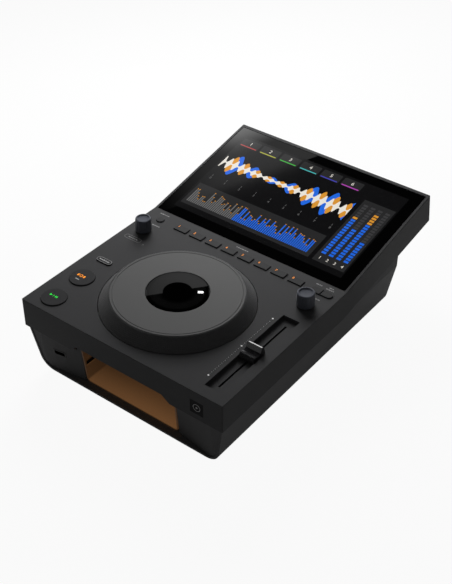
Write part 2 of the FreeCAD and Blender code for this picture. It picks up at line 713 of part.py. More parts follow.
def knob_encoder(x):
    """Encoder case with its threaded bush up through the deck."""
    z = DECK_Z
    case = box(x - 6.5, x + 6.5, KNOB_Y - 6.5, KNOB_Y + 6.5, z - 14.0, z - SKIN - GAP)
    bush = rod(5.0, x, KNOB_Y, z - 4, z + 0.9)
    hollow = rod(3.4, x, KNOB_Y, z - 12.0, z + 5)
    return case.fuse(bush).cut(hollow).removeSplitter()


# Fader

def fader_cap():
    """Saddle cap: high rear ridge, dished middle and lower front ridge, over the lever."""
    z = DECK_Z
    y = FADER_Y
    outline = [(y - 12.5, z - 2.6), (y - 12.5, z + 0.6), (y - 10.2, z + 3.4), (y - 8.0, z + 3.4),
               (y - 5.0, z + 2.0), (y - 1.0, z + 3.4), (y + 1.2, z + 8.0), (y + 4.0, z + 8.0),
               (y + 6.2, z + 2.0), (y + 6.8, z - 2.6)]
    body = prism_x(outline, FADER_X - 8.4, FADER_X + 8.4)
    return body.cut(box(FADER_X - 2.0, FADER_X + 2.0, y - 2.5, y + 2.5, z - 5, z + 3))


def fader_lever():
    """Lever from the fader's carriage up through the slot into the cap."""
    z = DECK_Z
    y = FADER_Y
    blade = box(FADER_X - 0.7, FADER_X + 0.7, y - 2.2, y + 2.2, z - 10, z - 2)
    head = box(FADER_X - 2.0, FADER_X + 2.0, y - 2.5, y + 2.5, z - 2.6, z + 3)
    carriage = box(FADER_X - 4, FADER_X + 4, y - 5, y + 5, z - 13, z - 9.6)
    return join([carriage, blade, head])


def fader_body():
    """Sheet metal trough of the fader with closed ends and a slot on top."""
    z = DECK_Z
    reach = FADER_TRAVEL / 2 + 6.5
    y0 = FADER_Y - reach - 1.0
    y1 = FADER_Y + reach + 1.0
    body = box(FADER_X - 6, FADER_X + 6, y0, y1, z - 16, z - 6.8)
    body = body.cut(box(FADER_X - 5, FADER_X + 5, y0 + 1, y1 - 1, z - 14.6, z - 8.4))
    return body.cut(box(FADER_X - 1.6, FADER_X + 1.6, y0 + 3, y1 - 3, z - 10, z))


# Boards in the lower casing

def main_board():
    z = BOARD_Z
    board = box(-86, 66, 88, PANEL_Y - 1, z, z + BOARD_T)
    board = board.cut([rod(1.7, x, y, z - 1, z + 3) for x, y in BOARD_HOLES])
    chips = [box(-40, -14, 140, 166, z + 1.6, z + 3.4), box(4, 18, 150, 172, z + 1.6, z + 2.9),
             box(-66, -52, 190, 212, z + 1.6, z + 2.9), box(20, 44, 210, 226, z + 1.6, z + 9)]
    return join([board] + chips)


def power_supply():
    """Mains board with its transformer, capacitor and cooling plate."""
    z = FLOOR_Z + 1
    board = box(70, 97, 100, 260, z + 3, z + 4.6)
    parts = [box(72, 95, 150, 176, z + 4.5, z + 26), rod(8, 84, 200, z + 4.5, z + 30),
             box(73, 76, 215, 250, z + 4.5, z + 24), box(72, 94, 108, 124, z + 4.5, z + 18)]
    feet = [rod(2.5, x, y, FLOOR_Z, z + 3.1) for x in (74, 93) for y in (104, 256)]
    return join([board] + parts + feet)


# Feet and fasteners

FEET = [(x, y) for x in (-84.0, 84.0) for y in (46.0, 288.0)]


def foot(x, y):
    profile = [(0, 0), (8.2, 0), (9.0, 0.8), (9.0, BASE_Z), (0, BASE_Z)]
    return turned(profile, x, y)


def long_screw(x, y):
    """Casing screw, up through the column into the upper casing."""
    head_z = SCREW_HEAD_Z + 3
    shank_top = under_z(y) + 9
    body = rod(2.8, x, y, head_z - 2.4, head_z).fuse(rod(1.3, x, y, head_z - 0.1, shank_top))
    return body.cut(rod(1.0, x, y, head_z - 3, head_z - 1.2)).removeSplitter()


def board_screw(x, y):
    top = FLOOR_Z + 7.6
    return rod(2.4, x, y, top, top + 1.6).fuse(rod(1.2, x, y, FLOOR_Z + 1, top + 0.1)).removeSplitter()


def jog_screw(x, y):
    low = JOG_PLATE_Z - 2
    return rod(2.6, x, y, low - 1.0, low).fuse(rod(1.3, x, y, low - 0.1, JOG_PLATE_Z + 7)).removeSplitter()


def front_panel_with_sockets(side):
    """Front panel with holes for its sockets."""
    panel = front_panel(side)
    if side > 0:
        return panel
    usb = place_in_panel(box(-7.2, 7.2, -6, 6, -3.4, 3.4), FRONT_USB)
    usb_c = place_in_panel(box(-4.9, 4.9, -6, 6, -2.0, 2.0), FRONT_USB_C)
    bay_usb = box(-80, -BAY_HALF, BAY_USB_Y - 7.1, BAY_USB_Y + 7.1, BAY_USB_Z - 3.5, BAY_USB_Z + 3.5)
    return panel.cut([usb, usb_c, bay_usb])


save("upper_chassis", upper_chassis())
save("touch_mark", touch_mark())
save("screen_glass", screen_glass())
save("screen_panel", screen_panel())
save("screen_bracket", screen_bracket())
save("screen_back_cover", screen_back_cover())
save("lower_chassis", lower_chassis())
save("front_panel_left", front_panel_with_sockets(-1))
save("front_panel_right", front_panel_with_sockets(1))
save("bay_liner", bay_liner())
save("bay_light_bar", bay_light_bar())
save("bay_usb_port", bay_usb_port())
save("front_usb_port", front_usb_port())
save("front_usb_c_port", front_usb_c_port())
save("rear_panel", rear_panel())
save("power_inlet", power_inlet())
save("power_switch_frame", switch_frame())
save("power_button", power_button())
save("coax_jacks", group([coax_jack(x, z) for x, z in COAX]))
save("network_jack", network_jack())
save("jog_rim", jog_rim())
save("jog_top_plate", jog_top_plate())
save("jog_hub", jog_hub())
save("bearing_inner_race", race(20.0, 23.6))
save("bearing_outer_race", race(26.4, 30.0))
save("bearing_balls", bearing_balls())
save("jog_post", jog_post())
save("jog_display", jog_display())
save("jog_lens", jog_lens())
save("encoder_disc", encoder_disc())
save("encoder_sensor", encoder_sensor())
save("jog_base_plate", jog_base_plate())
save("play_button", round_key(ROUND_KEY_X, PLAY_Y, ROUND_KEY_R))
save("cue_button", round_key(ROUND_KEY_X, CUE_Y, ROUND_KEY_R))
save("pill_button", pill_key())
save("small_round_button", round_key(*SMALL_KEY))
for number, (key_x, key_y) in enumerate(key_places(), 1):
    save("hot_cue_button_%d" % number, flat_key(key_x, key_y))
save("split_button_left", split_key(-1))
save("split_button_right", split_key(1))
save("key_board", key_board().fuse(key_switches()))
save("left_knob", knob(LEFT_KNOB_X, 8.5, 9.0))
save("right_knob", knob(RIGHT_KNOB_X, 9.2, 9.5))
save("left_knob_shaft", encoder_shaft(LEFT_KNOB_X))
save("right_knob_shaft", encoder_shaft(RIGHT_KNOB_X))
save("right_knob_plunger", encoder_plunger(RIGHT_KNOB_X))
save("knob_encoders", group([knob_encoder(LEFT_KNOB_X), knob_encoder(RIGHT_KNOB_X)]))
save("fader_cap", fader_cap())
save("fader_lever", fader_lever())
save("fader_body", fader_body())
save("main_board", main_board())
save("power_supply", power_supply())
save("feet", group([foot(x, y) for x, y in FEET]))
save("casing_screws", group([long_screw(x, y) for x, y in COLUMNS]))
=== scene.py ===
import colorsys
import math

import bpy
import numpy as np
from bpy.props import FloatProperty, FloatVectorProperty, IntProperty, PointerProperty
from mathutils import Matrix, Vector


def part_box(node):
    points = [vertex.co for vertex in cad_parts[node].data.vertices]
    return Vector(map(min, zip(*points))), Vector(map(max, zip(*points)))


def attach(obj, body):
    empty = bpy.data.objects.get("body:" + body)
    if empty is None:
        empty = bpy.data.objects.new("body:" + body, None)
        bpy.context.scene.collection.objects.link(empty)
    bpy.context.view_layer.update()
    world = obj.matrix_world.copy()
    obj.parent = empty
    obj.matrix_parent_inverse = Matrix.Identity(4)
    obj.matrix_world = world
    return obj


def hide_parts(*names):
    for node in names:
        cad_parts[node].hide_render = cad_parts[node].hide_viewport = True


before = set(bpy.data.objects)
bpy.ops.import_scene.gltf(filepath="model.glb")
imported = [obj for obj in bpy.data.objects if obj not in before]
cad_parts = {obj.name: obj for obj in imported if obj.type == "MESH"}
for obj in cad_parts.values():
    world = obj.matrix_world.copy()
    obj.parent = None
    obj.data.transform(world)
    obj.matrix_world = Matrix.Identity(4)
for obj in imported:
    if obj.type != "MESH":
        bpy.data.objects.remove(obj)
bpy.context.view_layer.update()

# Looks of a tabletop media player with a touch wheel and a raised screen. The sizes in the
# functions are millimetres: x across from the middle, y back from the front edge, and a
# height over the deck, or a distance up the tilted screen.

bl_info = {
    "name": "Tabletop media player looks",
    "version": (1, 0, 0),
    "blender": (4, 5, 0),
    "location": "View3D > Sidebar > Player",
    "description": "Finishes, printed marks, screen picture and studio for the packed player",
    "category": "Object",
}

MM = 0.001
KEY_RISE = 1.2
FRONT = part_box("upper_chassis")[0].y
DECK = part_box("play_button")[1].z - KEY_RISE * MM
WHEEL = (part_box("jog_rim")[0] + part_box("jog_rim")[1]) / 2
WHEEL_Y = (WHEEL.y - FRONT) / MM
CREASE_Y = 205.0
SCREEN_TILT = math.radians(10.7)
WINDOW_R = 0.0145
WINDOW_LEAN = 0.02
KEY_LAMP = (-0.42, 0.40, 0.55)
FRONT_LAMP = (0.55, -1.25, 0.85)
TILE_MIDDLE = (95.5, -18.8)
GLASS_SINK = 0.2

WHITE = (0.93, 0.93, 0.93)
ORANGE = (0.93, 0.55, 0.13)
GREEN = (0.15, 0.86, 0.25)


class PlayerSizes(bpy.types.PropertyGroup):
    """Sizes that a user may change."""
    lens: FloatProperty(
        name="Lens", description="Camera's focal length on a 36 mm sensor", default=67.40, subtype="NONE")
    knurl_count: IntProperty(
        name="Rim bumps", description="Bumps once round the wheel's rim", default=270, min=60, max=400)
    knurl_rows: IntProperty(
        name="Rim rows", description="Rows of bumps down the wheel's rim", default=9, min=2, max=14)
    knurl_depth: FloatProperty(
        name="Rim bump depth", description="Depth between the rim's bumps, in metres", default=0.00035,
        unit="LENGTH", precision=5)
    flutes: IntProperty(
        name="Knob flutes", description="Flutes round each knob", default=12, min=6, max=40)
    flute_depth: FloatProperty(
        name="Flute depth", description="Depth of a knob's flutes, in metres", default=0.00035,
        unit="LENGTH", precision=5)
    print_height: FloatProperty(
        name="Print height", description="Thickness of printed marks, in metres", default=0.00005,
        unit="LENGTH", precision=5)


def display_colour(label, about, value):
    return FloatVectorProperty(name=label, description=about, default=value, min=0.0, max=1.0,
                               size=3, subtype="COLOR_GAMMA")


class PlayerColours(bpy.types.PropertyGroup):
    """Colours that a user may change, as they look on a display."""
    casing: display_colour("Casing", "Moulded upper casing", (0.222, 0.222, 0.225))
    tub: display_colour("Lower casing", "Tapered lower casing", (0.285, 0.285, 0.288))
    keys: display_colour("Keys", "Caps of the keys", (0.190, 0.190, 0.193))
    wheel: display_colour("Wheel top", "Top plate of the wheel", (0.308, 0.308, 0.308))
    rim: display_colour("Wheel rim", "Bumpy rim of the wheel", (0.215, 0.215, 0.217))
    knob: display_colour("Knobs", "Rubber of the knobs", (0.250, 0.260, 0.290))
    # Amber of the light painted into the bay liner's emission and base colour.
    bay_glow: display_colour("Bay light", "Amber light in the front bay", (0.58, 0.41, 0.26))


def linear(colour):
    """Scene values of a display colour: the straight part below 0.04, the power 2.4 above it."""
    c = np.asarray(colour[:3], float)
    return tuple(np.where(c <= 0.04045, c / 12.92, ((c + 0.055) / 1.055) ** 2.4))


# Shader arithmetic

class Value:
    """Output socket of a shader node. Arithmetic on it adds Math nodes."""

    def __init__(self, shop, socket):
        self.shop = shop
        self.socket = socket

    def math(self, operation, *others):
        inputs = dict(enumerate((self, *others)))
        return self.shop.node("Math", {"operation": operation}, inputs)

    def turned(self, operation, first):
        return self.shop.node("Math", {"operation": operation}, {0: first, 1: self})

    def __add__(self, other):
        return self.math("ADD", other)

    def __sub__(self, other):
        return self.math("SUBTRACT", other)

    def __mul__(self, other):
        return self.math("MULTIPLY", other)

    def __truediv__(self, other):
        return self.math("DIVIDE", other)

    def __pow__(self, other):
        return self.math("POWER", other)

    def __rsub__(self, first):
        return self.turned("SUBTRACT", first)

    def __rtruediv__(self, first):
        return self.turned("DIVIDE", first)

    def __rpow__(self, first):
        return self.turned("POWER", first)

    __radd__ = __add__
    __rmul__ = __mul__

    def sine(self):
        return self.math("SINE")

    def clamped(self):
        return self.math("MAXIMUM", 0.0).math("MINIMUM", 1.0)

    def between(self, low, high):
        """Smooth step from 0 at low to 1 at high."""
        return self.shop.node("MapRange", {"interpolation_type": "SMOOTHSTEP"},
                              {"Value": self, "From Min": low, "From Max": high})


class Shop:
    """One material's nodes. Everything but arithmetic is made by `node`."""

    def __init__(self, name, **constants):
        self.material = bpy.data.materials.new(name)
        self.material.use_nodes = True
        self.tree = self.material.node_tree
        self.shader = self.tree.nodes["Principled BSDF"]
        for label, value in constants.items():
            self.shader.inputs[label.replace("_", " ")].default_value = value

    def node(self, kind, settings=None, inputs=None, output=0):
        made = self.tree.nodes.new("ShaderNode" + kind)
        for key, value in (settings or {}).items():
            setattr(made, key, value)
        for key, value in (inputs or {}).items():
            if isinstance(value, Value):
                self.tree.links.new(value.socket, made.inputs[key])
            else:
                made.inputs[key].default_value = value
        return Value(self, made.outputs[output])

    def place(self):
        return self.node("TexCoord", output=3)

    def axes(self):
        """X, Y and Z of the point in metres."""
        split = self.node("SeparateXYZ", inputs={0: self.place()}).socket.node
        return [Value(self, socket) for socket in split.outputs]

    def facing_up(self):
        """Z of the surface's normal: 1 on top, 0 on an upright wall, -1 underneath."""
        normal = self.node("NewGeometry", output=1)
        return Value(self, self.node("SeparateXYZ", inputs={0: normal}).socket.node.outputs[2])

    def noise(self, scale, detail=2.0, place=None):
        where = place or self.place()
        return self.node("TexNoise", {}, {"Vector": where, "Scale": scale, "Detail": detail})

    def mix(self, share, first, second):
        """Colour from first to second by share."""
        made = self.tree.nodes.new("ShaderNodeMix")
        made.data_type = "RGBA"
        for index, value in ((0, share), (6, first), (7, second)):
            if isinstance(value, Value):
                self.tree.links.new(value.socket, made.inputs[index])
            else:
                made.inputs[index].default_value = value if index == 0 else (*value[:3], 1.0)
        return Value(self, made.outputs[2])

    def feed(self, **links):
        """Send values to the shader's inputs."""
        for label, value in links.items():
            self.tree.links.new(value.socket, self.shader.inputs[label.replace("_", " ")])
        return self.material

    def bump(self, height, distance, strength=1.0):
        return self.node("Bump", {}, {"Strength": strength, "Distance": distance, "Height": height})


def shade(colour, factor):
    return tuple(min(1.0, c * factor) for c in colour)


def moulded(name, colour, roughness=0.55, grain=0.00003, specular=0.10, coarse=2600.0):
    """Moulded plastic with a fine spark-eroded grain and slight cloudiness."""
    shop = Shop(name, Specular_IOR_Level=specular)
    base = linear(colour)
    cloud = shop.noise(14.0, 3.0)
    fine = shop.noise(coarse, 2.0)
    tone = shop.mix(cloud * 0.6 + fine * 0.4, shade(base, 0.86), shade(base, 1.14))
    rough = (cloud - 0.5) * 0.10 + (fine - 0.5) * 0.12 + roughness
    return shop.feed(Base_Color=tone, Roughness=rough, Normal=shop.bump(fine, grain, 0.6))


def metal(name, colour, roughness=0.32, stretch=(1.0, 1.0, 40.0)):
    """Plated or rolled metal with fine drawn lines along one axis."""
    shop = Shop(name, Metallic=1.0)
    place = shop.node("Mapping", {}, {"Vector": shop.place(), "Scale": stretch})
    lines = shop.noise(90.0, 4.0, place)
    base = linear(colour)
    tone = shop.mix(lines, shade(base, 0.8), shade(base, 1.1))
    return shop.feed(Base_Color=tone, Roughness=(lines - 0.5) * 0.2 + roughness,
                     Normal=shop.bump(lines, 0.00002, 0.3))


def rubber(name, colour, roughness=0.6):
    """Matt rubber with a dusty bloom."""
    shop = Shop(name, Specular_IOR_Level=0.35, Sheen_Weight=0.15, Sheen_Roughness=0.4)
    bloom = shop.noise(120.0, 5.0)
    fine = shop.noise(3000.0, 1.0)
    base = linear(colour)
    tone = shop.mix(bloom, shade(base, 0.78), shade(base, 1.22))
    return shop.feed(Base_Color=tone, Roughness=(bloom - 0.5) * 0.16 + roughness,
                     Normal=shop.bump(fine, 0.00002, 0.5))


def wheel_top(colour):
    """Satin plate with faint turned rings round the wheel's axis."""
    shop = Shop("wheel_top_satin", Specular_IOR_Level=0.4)
    x, y, _ = shop.axes()
    radius = ((x - WHEEL.x) ** 2.0 + (y - WHEEL.y) ** 2.0) ** 0.5
    rings = (radius * 5200.0).sine() * 0.25 + shop.noise(1400.0, 2.0) * 0.75
    base = linear(colour)
    tone = shop.mix(rings, shade(base, 0.95), shade(base, 1.05))
    return shop.feed(Base_Color=tone, Roughness=rings * 0.06 + 0.5,
                     Normal=shop.bump(rings, 0.00001, 0.25))


def wheel_lens():
    """Black gloss disc over a ring of fine radial ribs that fade towards the middle, where a
    round window leans by about 1.6 degrees."""
    shop = Shop("lens_black_gloss", Roughness=0.015)
    x, y, _ = shop.axes()
    across, along = x - WHEEL.x, y - WHEEL.y
    radius = (across ** 2.0 + along ** 2.0) ** 0.5
    turn = along.math("ARCTAN2", across)
    ribs = (turn * 96.0).sine().between(-0.2, 0.9)
    band = radius.between(0.015, 0.021) * (1.0 - radius.between(0.0265, 0.0285))
    rings = (radius * 2400.0).sine() * 0.5 + 0.5
    tone = shop.mix((band * (ribs * 0.8 + rings * 0.2)).clamped(), (0.0004,) * 3, (0.006, 0.006, 0.0062))
    inside = 1.0 - radius.between(WINDOW_R - 0.0002, WINDOW_R + 0.0002)
    lean = (WINDOW_LEAN, -WINDOW_LEAN, 0.0)
    aside = shop.node("VectorMath", {"operation": "SCALE"}, {0: lean, "Scale": inside})
    normal = shop.node("NewGeometry", output=1)
    leaning = shop.node("VectorMath", {"operation": "ADD"}, {0: normal, 1: aside})
    even = shop.node("VectorMath", {"operation": "NORMALIZE"}, {0: leaning})
    return shop.feed(Base_Color=tone, Normal=even)


def black_glass():
    """Black glass of the screen, with the lightest smears in its gloss."""
    shop = Shop("screen_black_glass", Specular_IOR_Level=0.5)
    smear = shop.noise(11.0, 4.0)
    tone = shop.mix(smear, (0.0006,) * 3, (0.0012, 0.0012, 0.0013))
    return shop.feed(Base_Color=tone, Roughness=smear * 0.01 + 0.008)


def bay_plastic(glow):
    """Dark plastic with a painted pool of amber light, in its base colour and its emission, standing in for
    the light of the amber strip above: brightest on the floor, to the front right.
    """
    low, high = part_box("bay_liner")
    shop = Shop("bay_amber_painted_light", Emission_Strength=1.0, Specular_IOR_Level=0.3)
    x, y, z = shop.axes()
    across = (x - low.x) / (high.x - low.x)
    ahead = (high.y - y) / (high.y - low.y)
    deep = (high.z - z) / (high.z - low.z)
    grain = shop.noise(700.0, 3.0)
    up = shop.facing_up().between(0.1, 0.9)
    # Painted light: a pool of amber light, stronger on upward faces, deeper in the bay and towards the
    # front right.
    painted_light_pool = (across.between(-0.25, 1.0) * 0.25 + ahead.between(0.1, 1.0) * 0.75) * (up * 0.75 + 0.25)
    lit = (painted_light_pool * (deep.between(0.25, 1.0) * 0.7 + 0.3)).clamped() * (grain * 0.3 + 0.85)
    amber = linear(glow)
    # Base colour runs from dim brown to light amber-brown with the painted light. The emission below paints
    # the amber glow, though the liner is no lamp.
    tone = shop.mix(lit, linear((0.20, 0.145, 0.12)), linear((0.40, 0.29, 0.19)))
    shine = shop.mix(lit, shade(amber, 0.06), shade(amber, 0.42))
    return shop.feed(Base_Color=tone, Emission_Color=shine, Roughness=grain * 0.2 + 0.4)


def diffuser():
    """Milky strip with its amber lamps showing as soft spots on its underside."""
    shop = Shop("amber_diffuser", Emission_Strength=1.6, Roughness=0.45)
    x, _, _ = shop.axes()
    spots = (x * 520.0).sine() * 0.5 + 0.5
    away = shop.facing_up().between(-0.9, -0.5)
    lamps = shop.mix(spots, linear((0.85, 0.55, 0.22)), linear((1.0, 0.74, 0.40)))
    shine = shop.mix(away, lamps, (0.0, 0.0, 0.0))
    # The base colour is lighter at the lamps' spots too: painted lamp light, besides the strip's real
    # emission.
    return shop.feed(Base_Color=shop.mix(spots, (0.5, 0.42, 0.3), (0.7, 0.62, 0.5)), Emission_Color=shine)


def circuit_board():
    """Dark green solder mask with faint tracks."""
    shop = Shop("board_green_mask", Roughness=0.4)
    x, y, _ = shop.axes()
    tracks = ((x * 1900.0).sine() * (y * 1500.0).sine()).between(0.2, 0.5)
    tone = shop.mix(tracks * shop.noise(160.0, 2.0), (0.006, 0.030, 0.014), (0.016, 0.075, 0.030))
    return shop.feed(Base_Color=tone)


def inks(name, glow, paint=1.0, roughness=0.45):
    """Paint or lit pixels in the colour that each shape carries, a little uneven."""
    shop = Shop(name, Emission_Strength=glow, Roughness=roughness)
    ink = shop.node("Attribute", {"attribute_name": "ink"})
    uneven = shop.noise(900.0, 2.0)
    dimmed = shop.mix(uneven * 0.16, ink, (0.0, 0.0, 0.0))
    base = shop.mix(1.0 - paint, dimmed, (0.001, 0.001, 0.001)) if paint < 1.0 else dimmed
    if glow:
        shop.feed(Emission_Color=dimmed)
    return shop.feed(Base_Color=base)


# Mesh making

def deck_place(x, y, height):
    """Frame points of deck millimetres."""
    return np.stack([x * MM, FRONT + y * MM, DECK + height * MM], -1)


def screen_place(x, v, height):
    """Frame points of millimetres across and up the tilted glass, at a height over it."""
    rise = height - GLASS_SINK
    y = CREASE_Y + v * math.cos(SCREEN_TILT) - rise * math.sin(SCREEN_TILT)
    z = v * math.sin(SCREEN_TILT) + rise * math.cos(SCREEN_TILT)
    return deck_place(x, y, z)


def fascia_place(x, z, height):
    """Frame points on the upright front, x across, z under the deck's edge, height outwards."""
    return deck_place(x, -height, z)


def finished(name, points, faces, material, body, replaced=(), smooth=True, ink=None):
    """A piece from frame points and faces, riding on a body."""
    mesh = bpy.data.meshes.new(name)
    mesh.from_pydata(points.tolist(), [], faces)
    mesh.polygons.foreach_set("use_smooth", [smooth] * len(mesh.polygons))
    if ink is not None:
        layer = mesh.attributes.new("ink", "FLOAT_COLOR", "POINT")
        layer.data.foreach_set("color", np.column_stack([ink, np.ones(len(ink))]).ravel())
    mesh.materials.append(material)
    mesh.update()
    piece = bpy.data.objects.new(name, mesh)
    bpy.context.scene.collection.objects.link(piece)
    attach(piece, body)
    if replaced:
        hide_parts(*replaced)
    return piece


def wrapped_faces(columns, rows):
    """Quads between neighbours of a grid that joins up in both directions."""
    i, j = np.meshgrid(np.arange(columns), np.arange(rows), indexing="ij")
    i1, j1 = (i + 1) % columns, (j + 1) % rows
    quads = np.stack([i * rows + j, i * rows + j1, i1 * rows + j1, i1 * rows + j], -1)
    return quads.reshape(-1, 4)


def capped_faces(columns, rows):
    """Quads of a grid joined up round its columns, with a fan to a pole before its first row
    and one past its last row. The two poles are the last two points."""
    i, j = np.meshgrid(np.arange(columns), np.arange(rows - 1), indexing="ij")
    i1 = (i + 1) % columns
    quads = np.stack([i1 * rows + j, i1 * rows + j + 1, i * rows + j + 1, i * rows + j], -1)
    first = np.arange(columns) * rows
    after = np.roll(first, -1)
    start = columns * rows
    fans = [np.column_stack([np.full(columns, start), after, first]),
            np.column_stack([np.full(columns, start + 1), first + rows - 1, after + rows - 1])]
    return quads.reshape(-1, 4).tolist() + np.vstack(fans).tolist()


def turned_points(radius, height, turn, centre):
    """Profile turned round an upright axis: x = r cos, y = r sin, r may vary with the turn."""
    x = centre[0] + radius * np.cos(turn)
    y = centre[1] + radius * np.sin(turn)
    return np.stack([x, y, np.broadcast_to(height, x.shape)], -1)


def divided(profile, pieces):
    """Points along straight runs, each run cut into its number of pieces."""
    parts = [np.linspace(profile[k], profile[k + 1], n, endpoint=False) for k, n in enumerate(pieces)]
    return np.concatenate(parts)


class Print:
    """Flat shapes on one plane, each a thin closed slab with an ink of its own."""

    def __init__(self, thick=0.05):
        self.thick = thick
        self.points = []
        self.inks = []
        self.faces = []
        self.count = 0

    def add(self, points, faces, ink):
        self.points.append(points)
        self.inks.append(np.tile(linear(ink), (len(points), 1)))
        self.faces += [[self.count + k for k in face] for face in faces]
        self.count += len(points)

    def slab(self, outline, ink, level=0.0):
        """Outline carried up from level by the print's thickness."""
        outline = np.asarray(outline, float)
        n = len(outline)
        low = np.column_stack([outline, np.full(n, level)])
        high = np.column_stack([outline, np.full(n, level + self.thick)])
        ring = np.arange(n)
        after = (ring + 1) % n
        walls = np.stack([ring, after, after + n, ring + n], -1).tolist()
        self.add(np.vstack([low, high]), [ring[::-1].tolist(), (ring + n).tolist()] + walls, ink)

    def rect(self, x, v, wide, high, ink, level=0.0):
        corners = [(-1, -1), (1, -1), (1, 1), (-1, 1)]
        self.slab([(x + a * wide / 2, v + b * high / 2) for a, b in corners], ink, level)

    def rounded(self, x, v, wide, high, radius, ink, level=0.0, width=0.0):
        """Rounded rectangle, filled, or only a line of this width."""
        outer = rounded_loop(x, v, wide, high, radius)
        if not width:
            self.slab(outer, ink, level)
            return
        inner = rounded_loop(x, v, wide - 2 * width, high - 2 * width, max(radius - width, 0.02))
        self.frame(outer, inner, ink, level)

    def frame(self, outer, inner, ink, level=0.0):
        """Closed band between two loops with the same number of points."""
        top = level + self.thick
        loops = [(outer, level), (outer, top), (inner, top), (inner, level)]
        stacked = np.stack([np.column_stack([loop, np.full(len(loop), z)]) for loop, z in loops], 1)
        self.add(stacked.reshape(-1, 3), wrapped_faces(len(outer), 4)[:, ::-1].tolist(), ink)

    def dot(self, x, v, radius, ink, level=0.0, sides=16):
        turn = np.linspace(0, 2 * math.pi, sides, endpoint=False)
        self.slab(np.column_stack([x + radius * np.cos(turn), v + radius * np.sin(turn)]), ink, level)

    def ring(self, x, v, radius, width, ink, level=0.0, sides=32):
        turn = np.linspace(0, 2 * math.pi, sides, endpoint=False)
        circle = np.column_stack([np.cos(turn), np.sin(turn)])
        self.frame(circle * radius + (x, v), circle * (radius - width) + (x, v), ink, level)

    def strip(self, x, low, high, ink, level=0.0):
        """Area between two curves over x, as a closed slab."""
        top = level + self.thick
        n = len(x)
        sides = [(low, level), (high, level), (high, top), (low, top)]
        stacked = np.stack([np.column_stack([x, edge, np.full(n, z)]) for edge, z in sides], 1)
        i, j = np.meshgrid(np.arange(n - 1), np.arange(4), indexing="ij")
        quads = np.stack([i * 4 + j, i * 4 + (j + 1) % 4, (i + 1) * 4 + (j + 1) % 4, (i + 1) * 4 + j], -1)
        ends = [[3, 2, 1, 0], [n * 4 - 4, n * 4 - 3, n * 4 - 2, n * 4 - 1]]
        self.add(stacked.reshape(-1, 3), quads.reshape(-1, 4).tolist() + ends, ink)

    def number(self, text, x, v, high, ink, level=0.0):
        """Plain figures from Blender's own font, their left end at x and standing on v."""
        curve = bpy.data.curves.new("figures", "FONT")
        curve.body = text
        curve.size = high / 0.73
        curve.extrude = self.thick / 2
        curve.resolution_u = 3
        holder = bpy.data.objects.new("figures", curve)
        mesh = bpy.data.meshes.new_from_object(holder)
        points = np.empty(len(mesh.vertices) * 3)
        mesh.vertices.foreach_get("co", points)
        points = points.reshape(-1, 3) + (x, v, level + self.thick / 2)
        faces = [list(p.vertices) for p in mesh.polygons]
        self.add(points, faces, ink)
        bpy.data.objects.remove(holder)
        bpy.data.meshes.remove(mesh)
        bpy.data.curves.remove(curve)

    def piece(self, name, place, material, body, slot):
        points = np.vstack(self.points)
        at = place(points[:, 0], points[:, 1], points[:, 2])
        return finished(name, at, self.faces, material, body, smooth=False, ink=np.vstack(self.inks))


def rounded_loop(x, v, wide, high, radius, steps=4):
    """Rectangle with quarter circles of the radius at its corners."""
    turn = np.radians(np.concatenate([np.linspace(90 * q, 90 * q + 90, steps + 1) for q in range(4)]))
    corner = np.repeat([(1, 1), (-1, 1), (-1, -1), (1, -1)], steps + 1, axis=0)
    centre = corner * (wide / 2 - radius, high / 2 - radius)
    return centre + radius * np.column_stack([np.cos(turn), np.sin(turn)]) + (x, v)


def give(material, *nodes):
    for node in nodes:
        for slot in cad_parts[node].material_slots:
            slot.link = "OBJECT"
            slot.material = material


# Operators, one for each piece or group of like pieces

